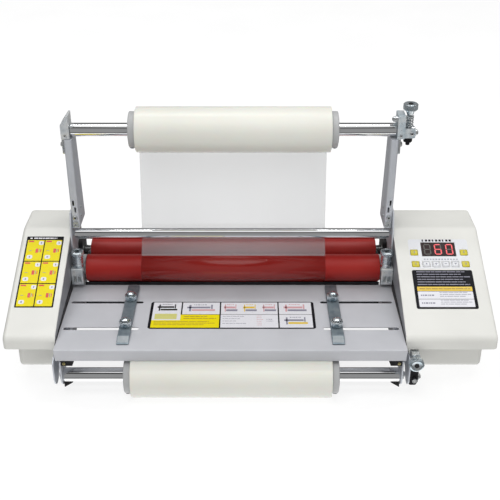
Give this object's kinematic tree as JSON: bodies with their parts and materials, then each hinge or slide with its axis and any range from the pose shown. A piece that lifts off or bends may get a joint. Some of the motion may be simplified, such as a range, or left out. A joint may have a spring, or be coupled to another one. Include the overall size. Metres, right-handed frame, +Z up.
{
  "type": "roll laminator",
  "caption": "Desktop roll laminator: silicone roller pairs between cream end casings, upper and lower film supply rolls, and a feed table with side guides.",
  "frame": {"origin": "centre of the bounding box at the underside of the feet", "axes": "+X across the machine to its control panel side, -Y towards the operator and the feed table, +Z up"},
  "size_m": [0.543, 0.244, 0.291],
  "materials": {
    "frame_steel": "grey satin paint",
    "cream_casing": "cream satin moulding",
    "table_paint": "light grey satin paint",
    "zinc": "bright zinc plate",
    "chrome": "polished",
    "red_silicone": "smooth silicone",
    "film_roll": "wound film",
    "film_web": "translucent film",
    "grey_collar": "satin",
    "nylon_gear": "natural nylon",
    "steel_gear": "machined",
    "black_rubber": "matt",
    "black_plastic": "satin",
    "motor_metal": "satin",
    "dark_window": "glossy dark red window",
    "yellow_button": "satin",
    "white_button": "satin"
  },
  "bodies": {
    "frame": {"base_pan": "frame_steel", "left_side_plate": "frame_steel", "right_side_plate": "frame_steel", "left_casing_cover": "cream_casing", "right_casing_cover": "cream_casing", "left_casing_base": "cream_casing", "right_casing_base": "cream_casing", "left_front_foot": "black_rubber", "left_rear_foot": "black_rubber", "right_front_foot": "black_rubber", "right_rear_foot": "black_rubber", "left_post": "frame_steel", "right_post": "frame_steel", "left_mandrel_bracket": "zinc", "right_mandrel_bracket": "zinc", "left_lower_roll_bracket": "frame_steel", "right_lower_roll_bracket": "frame_steel", "left_bearing_block": "zinc", "right_bearing_block": "zinc", "gear_motor": "motor_metal", "display_window": "dark_window", "power_inlet": "black_plastic", "upper_film_web": "film_web"},
    "feed_table": {"feed_table": "table_paint"},
    "left_side_guide": {"left_side_guide": "zinc"},
    "right_side_guide": {"right_side_guide": "zinc"},
    "idler_bar": {"idler_bar": "chrome"},
    "lower_front_roller": {"lower_front_roller_shaft": "chrome", "lower_front_roller_sleeve": "red_silicone", "lower_front_gear": "nylon_gear"},
    "lower_rear_roller": {"lower_rear_roller_shaft": "chrome", "lower_rear_roller_sleeve": "red_silicone", "lower_rear_gear": "nylon_gear"},
    "upper_front_roller": {"upper_front_roller_shaft": "chrome", "upper_front_roller_sleeve": "red_silicone", "upper_front_gear": "nylon_gear"},
    "upper_rear_roller": {"upper_rear_roller_shaft": "chrome", "upper_rear_roller_sleeve": "red_silicone", "upper_rear_gear": "nylon_gear"},
    "motor_pinion": {"motor_pinion": "steel_gear"},
    "upper_supply_roll": {"upper_mandrel": "chrome", "upper_film_roll": "film_roll", "upper_left_collar": "grey_collar", "upper_right_collar": "grey_collar"},
    "lower_supply_roll": {"lower_mandrel": "chrome", "lower_film_roll": "film_roll", "lower_left_collar": "grey_collar", "lower_right_collar": "grey_collar"},
    "upper_tension_knob": {"upper_tension_knob": "zinc"},
    "lower_tension_knob": {"lower_tension_knob": "zinc"},
    "left_pressure_knob": {"left_pressure_knob": "zinc"},
    "right_pressure_knob": {"right_pressure_knob": "zinc"},
    "yellow_button_1": {"yellow_button_1": "yellow_button"},
    "yellow_button_2": {"yellow_button_2": "yellow_button"},
    "yellow_button_3": {"yellow_button_3": "yellow_button"},
    "yellow_button_4": {"yellow_button_4": "yellow_button"},
    "white_button_1": {"white_button_1": "white_button"},
    "white_button_2": {"white_button_2": "white_button"},
    "white_button_3": {"white_button_3": "white_button"},
    "white_button_4": {"white_button_4": "white_button"}
  },
  "joints": [
    {"name": "feed_table_slide", "type": "slide", "parent": "frame", "child": "feed_table", "axis": [0, 1, 0], "range_m": [-0.05, 0]},
    {"name": "left_guide_slide", "type": "slide", "parent": "feed_table", "child": "left_side_guide", "axis": [1, 0, 0], "range_m": [-0.06, 0.008]},
    {"name": "right_guide_slide", "type": "slide", "parent": "feed_table", "child": "right_side_guide", "axis": [1, 0, 0], "range_m": [-0.008, 0.06]},
    {"name": "idler_spin", "type": "hinge", "parent": "frame", "child": "idler_bar", "pos_m": [0, 0.045, 0.131], "axis": [1, 0, 0], "continuous": true},
    {"name": "lower_front_spin", "type": "hinge", "parent": "frame", "child": "lower_front_roller", "pos_m": [0, 0.0386, 0.0542], "axis": [1, 0, 0], "continuous": true},
    {"name": "upper_front_spin", "type": "hinge", "parent": "frame", "child": "upper_front_roller", "pos_m": [0, 0.0386, 0.0875], "axis": [1, 0, 0], "continuous": true},
    {"name": "lower_rear_spin", "type": "hinge", "parent": "frame", "child": "lower_rear_roller", "pos_m": [0, 0.08, 0.0542], "axis": [1, 0, 0], "continuous": true},
    {"name": "upper_rear_spin", "type": "hinge", "parent": "frame", "child": "upper_rear_roller", "pos_m": [0, 0.08, 0.0875], "axis": [1, 0, 0], "continuous": true},
    {"name": "pinion_spin", "type": "hinge", "parent": "frame", "child": "motor_pinion", "pos_m": [0.18, 0.0593, 0.03863], "axis": [1, 0, 0], "continuous": true},
    {"name": "upper_supply_spin", "type": "hinge", "parent": "frame", "child": "upper_supply_roll", "pos_m": [0, 0.055, 0.2595], "axis": [1, 0, 0], "continuous": true},
    {"name": "lower_supply_spin", "type": "hinge", "parent": "frame", "child": "lower_supply_roll", "pos_m": [0, -0.096, 0.0285], "axis": [1, 0, 0], "continuous": true},
    {"name": "upper_tension_turn", "type": "hinge", "parent": "frame", "child": "upper_tension_knob", "pos_m": [0.18, 0.055, 0.285], "axis": [0, 0, 1], "range_deg": [-360, 360]},
    {"name": "lower_tension_turn", "type": "hinge", "parent": "frame", "child": "lower_tension_knob", "pos_m": [0.18, -0.114, 0.0555], "axis": [0, -1, 0], "range_deg": [-360, 360]},
    {"name": "left_pressure_turn", "type": "hinge", "parent": "frame", "child": "left_pressure_knob", "pos_m": [-0.2052, 0.026, 0.115], "axis": [0, 0, 1], "range_deg": [-360, 360]},
    {"name": "right_pressure_turn", "type": "hinge", "parent": "frame", "child": "right_pressure_knob", "pos_m": [0.1622, 0.026, 0.115], "axis": [0, 0, 1], "range_deg": [-360, 360]},
    {"name": "yellow_button_1_press", "type": "slide", "parent": "frame", "child": "yellow_button_1", "axis": [0, -0.3851, 0.9229], "range_m": [-0.0008, 0], "stiffness_N_per_m": 400, "springref_m": 0.0005},
    {"name": "yellow_button_2_press", "type": "slide", "parent": "frame", "child": "yellow_button_2", "axis": [0, -0.3851, 0.9229], "range_m": [-0.0008, 0], "stiffness_N_per_m": 400, "springref_m": 0.0005},
    {"name": "yellow_button_3_press", "type": "slide", "parent": "frame", "child": "yellow_button_3", "axis": [0, -0.3851, 0.9229], "range_m": [-0.0008, 0], "stiffness_N_per_m": 400, "springref_m": 0.0005},
    {"name": "yellow_button_4_press", "type": "slide", "parent": "frame", "child": "yellow_button_4", "axis": [0, -0.3851, 0.9229], "range_m": [-0.0008, 0], "stiffness_N_per_m": 400, "springref_m": 0.0005},
    {"name": "white_button_1_press", "type": "slide", "parent": "frame", "child": "white_button_1", "axis": [0, -0.3851, 0.9229], "range_m": [-0.0008, 0], "stiffness_N_per_m": 400, "springref_m": 0.0005},
    {"name": "white_button_2_press", "type": "slide", "parent": "frame", "child": "white_button_2", "axis": [0, -0.3851, 0.9229], "range_m": [-0.0008, 0], "stiffness_N_per_m": 400, "springref_m": 0.0005},
    {"name": "white_button_3_press", "type": "slide", "parent": "frame", "child": "white_button_3", "axis": [0, -0.3851, 0.9229], "range_m": [-0.0008, 0], "stiffness_N_per_m": 400, "springref_m": 0.0005},
    {"name": "white_button_4_press", "type": "slide", "parent": "frame", "child": "white_button_4", "axis": [0, -0.3851, 0.9229], "range_m": [-0.0008, 0], "stiffness_N_per_m": 400, "springref_m": 0.0005}
  ],
  "couplings": [
    {"joint": "upper_front_spin", "follows": "lower_front_spin", "ratio": -1},
    {"joint": "lower_rear_spin", "follows": "lower_front_spin", "ratio": 1},
    {"joint": "upper_rear_spin", "follows": "lower_front_spin", "ratio": -1},
    {"joint": "pinion_spin", "follows": "lower_front_spin", "ratio": -1.8}
  ]
}
